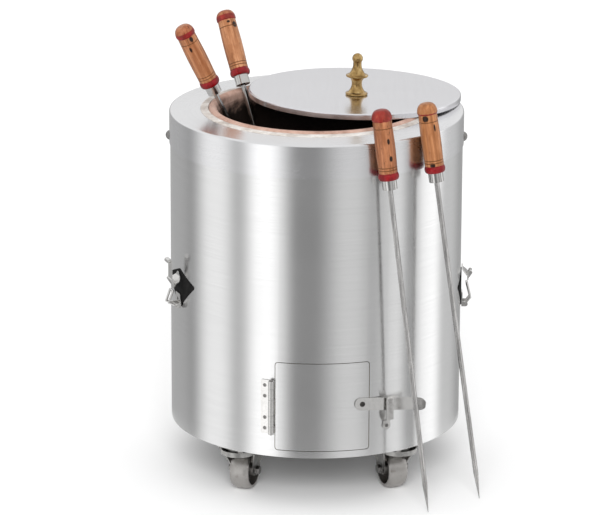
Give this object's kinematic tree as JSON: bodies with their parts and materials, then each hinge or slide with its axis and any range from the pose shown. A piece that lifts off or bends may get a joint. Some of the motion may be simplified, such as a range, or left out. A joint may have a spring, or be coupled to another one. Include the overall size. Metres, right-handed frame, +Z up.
{
  "type": "clay tandoor oven",
  "caption": "Upright clay tandoor in an insulated steel drum on swivel casters, with a loose knobbed lid, a latched ash door, side catches and wood-handled skewers.",
  "frame": {"origin": "on the drum's axis at floor level, where the casters stand", "axes": "+Z up along the drum's axis; the ash door faces -Y; +X is to the right of someone who faces the door"},
  "size_m": [0.6034, 0.5842, 0.8815],
  "materials": {
    "drum_steel": "brushed lengthwise, fairly bright",
    "satin_steel": "satin, light",
    "fitting_steel": "polished and slightly worn",
    "zinc_steel": "zinc plated",
    "fastener_steel": "plain",
    "rod_steel": "drawn bar, slightly dull",
    "wheel_steel": "zinc plated, worn tread",
    "grate_iron": "sooty",
    "brass": "cast, antique polish",
    "black_pad": "matt",
    "handle_wood": "varnished, with red lacquer bands",
    "clay": "fired clay, rough",
    "mortar": "rough mortar",
    "insulation": "loose mineral wool, seen by no one"
  },
  "bodies": {
    "drum": {"outer_shell": "drum_steel", "base_plate": "fitting_steel", "top_collar": "satin_steel", "collar_bolts": "fastener_steel", "clay_pot": "clay", "mortar_ring": "mortar", "insulation_fill": "insulation", "door_throat": "fitting_steel", "fire_grate": "grate_iron", "hinge_leaf_drum": "fitting_steel", "hinge_pin": "fastener_steel", "hinge_screws": "fastener_steel", "latch_keeper": "fitting_steel", "fitting_screws": "fastener_steel", "side_pad_left": "black_pad", "side_pad_right": "black_pad", "side_base_left": "fitting_steel", "side_base_right": "fitting_steel", "side_catch_left": "fitting_steel", "side_catch_right": "fitting_steel", "caster_bolts": "fastener_steel", "caster_plate_1": "zinc_steel", "caster_plate_2": "zinc_steel", "caster_plate_3": "zinc_steel", "caster_plate_4": "zinc_steel"},
    "door": {"ash_door": "drum_steel", "door_lining": "fitting_steel", "hinge_leaf_door": "fitting_steel", "latch_rivet": "fastener_steel"},
    "latch": {"latch_bar": "fitting_steel"},
    "bail_left": {"side_bail_left": "fitting_steel"},
    "bail_right": {"side_bail_right": "fitting_steel"},
    "lever_left": {"side_lever_left": "fitting_steel"},
    "lid": {"lid_disc": "satin_steel", "lid_knob": "brass", "knob_nut": "fastener_steel"},
    "fork_1": {"caster_fork_1": "zinc_steel", "caster_axle_1": "fastener_steel"},
    "wheel_1": {"caster_wheel_1": "wheel_steel"},
    "fork_2": {"caster_fork_2": "zinc_steel", "caster_axle_2": "fastener_steel"},
    "wheel_2": {"caster_wheel_2": "wheel_steel"},
    "fork_3": {"caster_fork_3": "zinc_steel", "caster_axle_3": "fastener_steel"},
    "wheel_3": {"caster_wheel_3": "wheel_steel"},
    "fork_4": {"caster_fork_4": "zinc_steel", "caster_axle_4": "fastener_steel"},
    "wheel_4": {"caster_wheel_4": "wheel_steel"},
    "skewer_a": {"skewer_rod_a": "rod_steel", "skewer_handle_a": "handle_wood", "skewer_ferrule_a": "fitting_steel"},
    "skewer_b": {"skewer_rod_b": "rod_steel", "skewer_handle_b": "handle_wood", "skewer_ferrule_b": "fitting_steel"},
    "skewer_c": {"skewer_rod_c": "rod_steel", "skewer_handle_c": "handle_wood", "skewer_ferrule_c": "fitting_steel"},
    "skewer_d": {"skewer_rod_d": "rod_steel", "skewer_handle_d": "handle_wood", "skewer_ferrule_d": "fitting_steel"}
  },
  "joints": [
    {"name": "door_swing", "type": "hinge", "parent": "drum", "child": "door", "pos_m": [-0.083, -0.27338, 0.1985], "axis": [0, 0, -1], "range_deg": [0, 105]},
    {"name": "latch_lift", "type": "hinge", "parent": "door", "child": "latch", "pos_m": [0.08875, -0.26757, 0.2045], "axis": [0.3148, -0.9492, 0], "range_deg": [0, 90]},
    {"name": "bail_left_swing", "type": "hinge", "parent": "drum", "child": "bail_left", "pos_m": [-0.26842, -0.10845, 0.3495], "axis": [0.3746, -0.9272, 0], "range_deg": [0, 90]},
    {"name": "bail_right_swing", "type": "hinge", "parent": "drum", "child": "bail_right", "pos_m": [0.2895, 0, 0.3235], "axis": [0, 1, 0], "range_deg": [0, 90]},
    {"name": "lever_left_swing", "type": "hinge", "parent": "drum", "child": "lever_left", "pos_m": [-0.27704, -0.11193, 0.401], "axis": [0.3746, -0.9272, 0], "range_deg": [0, 120]},
    {"name": "lid_lift", "type": "slide", "parent": "drum", "child": "lid", "axis": [0, 0, 1], "range_m": [0, 0.3]},
    {"name": "caster_1_swivel", "type": "hinge", "parent": "drum", "child": "fork_1", "pos_m": [-0.14573, -0.19695, 0.085], "axis": [0, 0, 1], "continuous": true},
    {"name": "wheel_1_roll", "type": "hinge", "parent": "fork_1", "child": "wheel_1", "pos_m": [-0.13401, -0.16291, 0.0381], "axis": [0.9455, -0.3256, 0], "continuous": true},
    {"name": "caster_2_swivel", "type": "hinge", "parent": "drum", "child": "fork_2", "pos_m": [0.16073, -0.1849, 0.085], "axis": [0, 0, 1], "continuous": true},
    {"name": "wheel_2_roll", "type": "hinge", "parent": "fork_2", "child": "wheel_2", "pos_m": [0.14783, -0.1513, 0.0381], "axis": [0.9336, 0.3584, 0], "continuous": true},
    {"name": "caster_3_swivel", "type": "hinge", "parent": "drum", "child": "fork_3", "pos_m": [0.15084, 0.19306, 0.085], "axis": [0, 0, 1], "continuous": true},
    {"name": "wheel_3_roll", "type": "hinge", "parent": "fork_3", "child": "wheel_3", "pos_m": [0.14335, 0.22828, 0.0381], "axis": [0.9781, 0.2079, 0], "continuous": true},
    {"name": "caster_4_swivel", "type": "hinge", "parent": "drum", "child": "fork_4", "pos_m": [-0.15084, 0.19306, 0.085], "axis": [0, 0, 1], "continuous": true},
    {"name": "wheel_4_roll", "type": "hinge", "parent": "fork_4", "child": "wheel_4", "pos_m": [-0.13019, 0.22255, 0.0381], "axis": [0.8192, -0.5736, 0], "continuous": true},
    {"name": "skewer_a_draw", "type": "slide", "parent": "drum", "child": "skewer_a", "axis": [-0.4095, -0.1774, 0.8949], "range_m": [0, 0.5]},
    {"name": "skewer_b_draw", "type": "slide", "parent": "drum", "child": "skewer_b", "axis": [-0.2538, 0.4226, 0.87], "range_m": [0, 0.5]},
    {"name": "skewer_c_draw", "type": "slide", "parent": "drum", "child": "skewer_c", "axis": [-0.1234, 0.0308, 0.9919], "range_m": [0, 0.15]},
    {"name": "skewer_d_draw", "type": "slide", "parent": "drum", "child": "skewer_d", "axis": [-0.1425, 0.0082, 0.9898], "range_m": [0, 0.15]}
  ]
}
